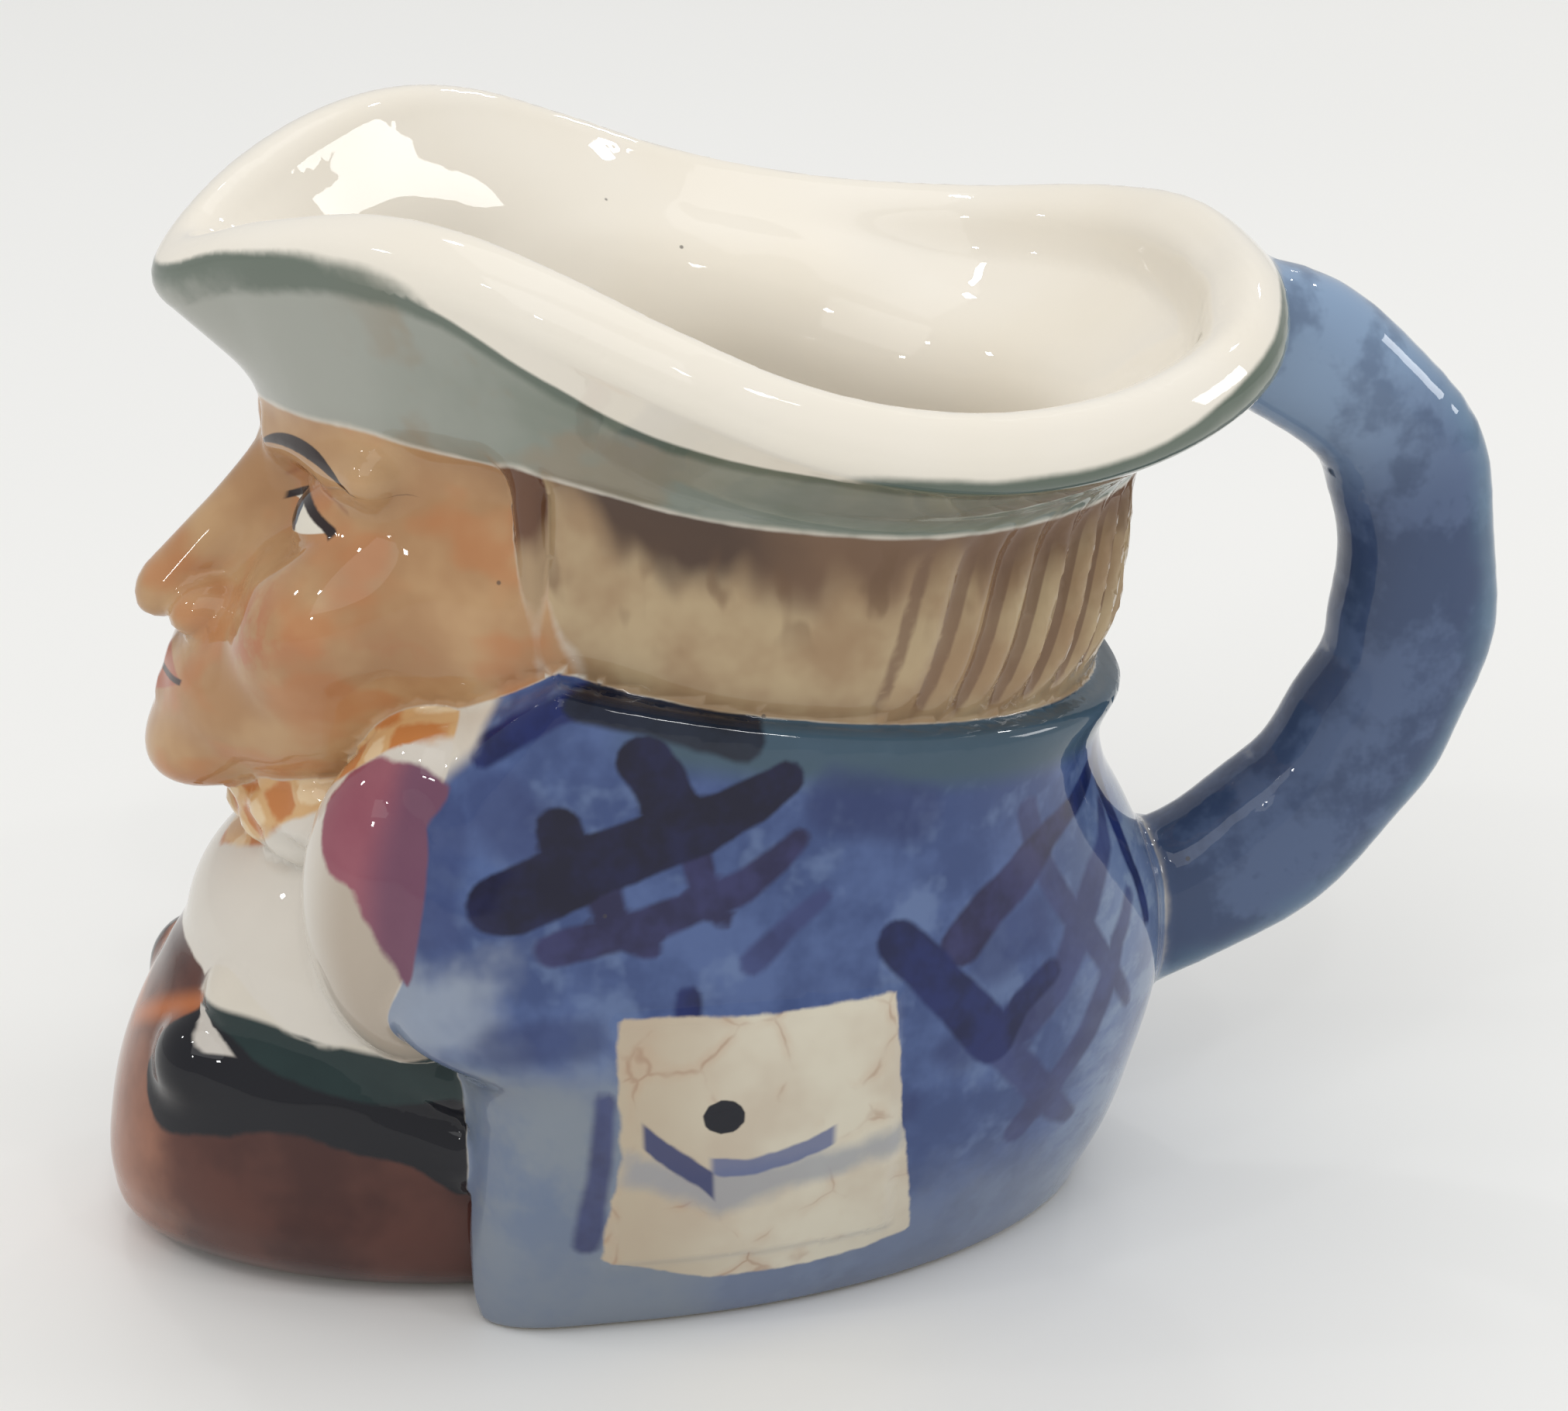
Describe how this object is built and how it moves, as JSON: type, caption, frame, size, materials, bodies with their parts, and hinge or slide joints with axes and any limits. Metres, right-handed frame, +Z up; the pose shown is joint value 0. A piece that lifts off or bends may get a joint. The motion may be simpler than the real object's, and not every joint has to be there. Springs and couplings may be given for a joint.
{
  "type": "toby jug",
  "caption": "Small glazed earthenware toby jug: a seated man in a tricorn hat whose wavy brim is the pouring rim, with a loop handle at his back.",
  "frame": {"origin": "centre of the bounding box, on the flat underside that the jug stands on", "axes": "+Z up; the man faces -Y and the handle points along +Y; +X is the man's left side"},
  "size_m": [0.0625, 0.0959, 0.0735],
  "materials": {
    "glazed_earthenware": "glossy clear glaze over hand-painted underglaze colours on a cream body"
  },
  "bodies": {
    "root": {"jug": "glazed_earthenware"}
  },
  "joints": []
}
